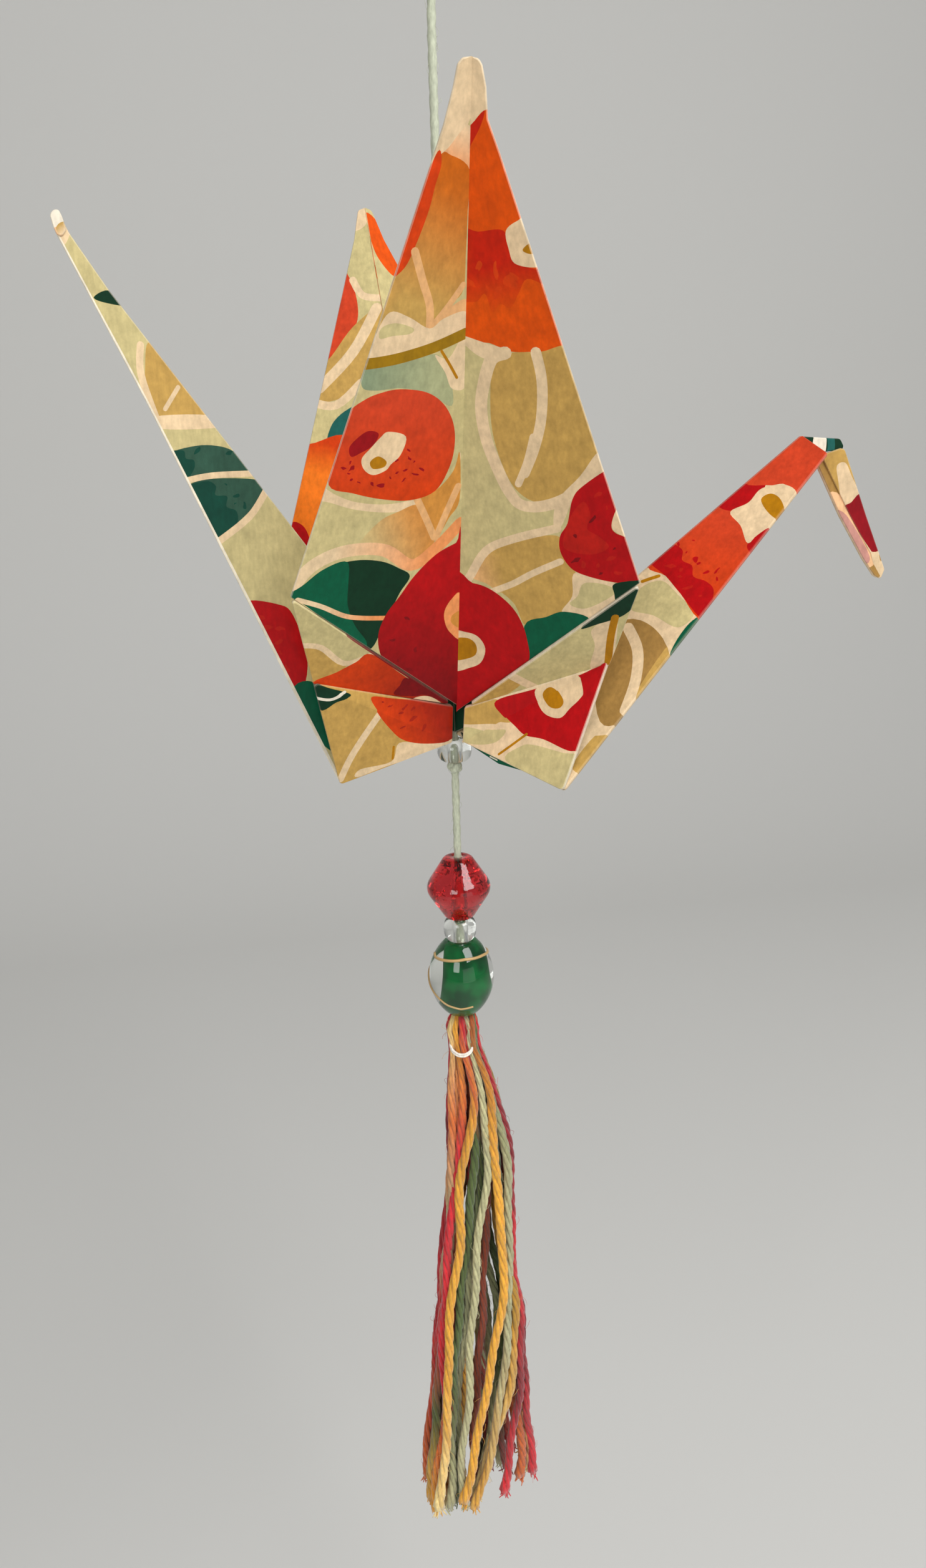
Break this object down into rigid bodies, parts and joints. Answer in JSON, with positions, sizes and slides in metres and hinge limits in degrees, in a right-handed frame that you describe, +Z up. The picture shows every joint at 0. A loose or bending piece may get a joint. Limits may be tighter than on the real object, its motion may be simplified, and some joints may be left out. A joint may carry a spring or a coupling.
{
  "type": "hanging origami crane ornament",
  "caption": "Crane folded from one printed paper square, strung on a looped cord with glass beads below it and a thread tassel at the end.",
  "frame": {"origin": "inside of the top of the cord's loop, where a hook bears", "axes": "+Z up along the cord, +X towards the neck and beak, wings lean out to -Y and +Y"},
  "size_m": [0.1019, 0.0646, 0.2386],
  "materials": {
    "printed_paper": "printed washi with a gloss varnish",
    "cotton_cord": "twisted, pale sage",
    "clear_glass": "clear, smooth",
    "red_glass": "clear red with crackle",
    "green_glass": "green core cased in clear glass",
    "tassel_thread": "loosely twisted threads of many colours",
    "white_thread": "smooth white thread"
  },
  "bodies": {
    "root": {"crane": "printed_paper", "hanging_cord": "cotton_cord", "stop_bead": "clear_glass", "bicone_bead": "red_glass", "spacer_bead": "clear_glass", "oval_bead": "green_glass", "tassel": "tassel_thread", "tassel_binding": "white_thread"}
  },
  "joints": []
}
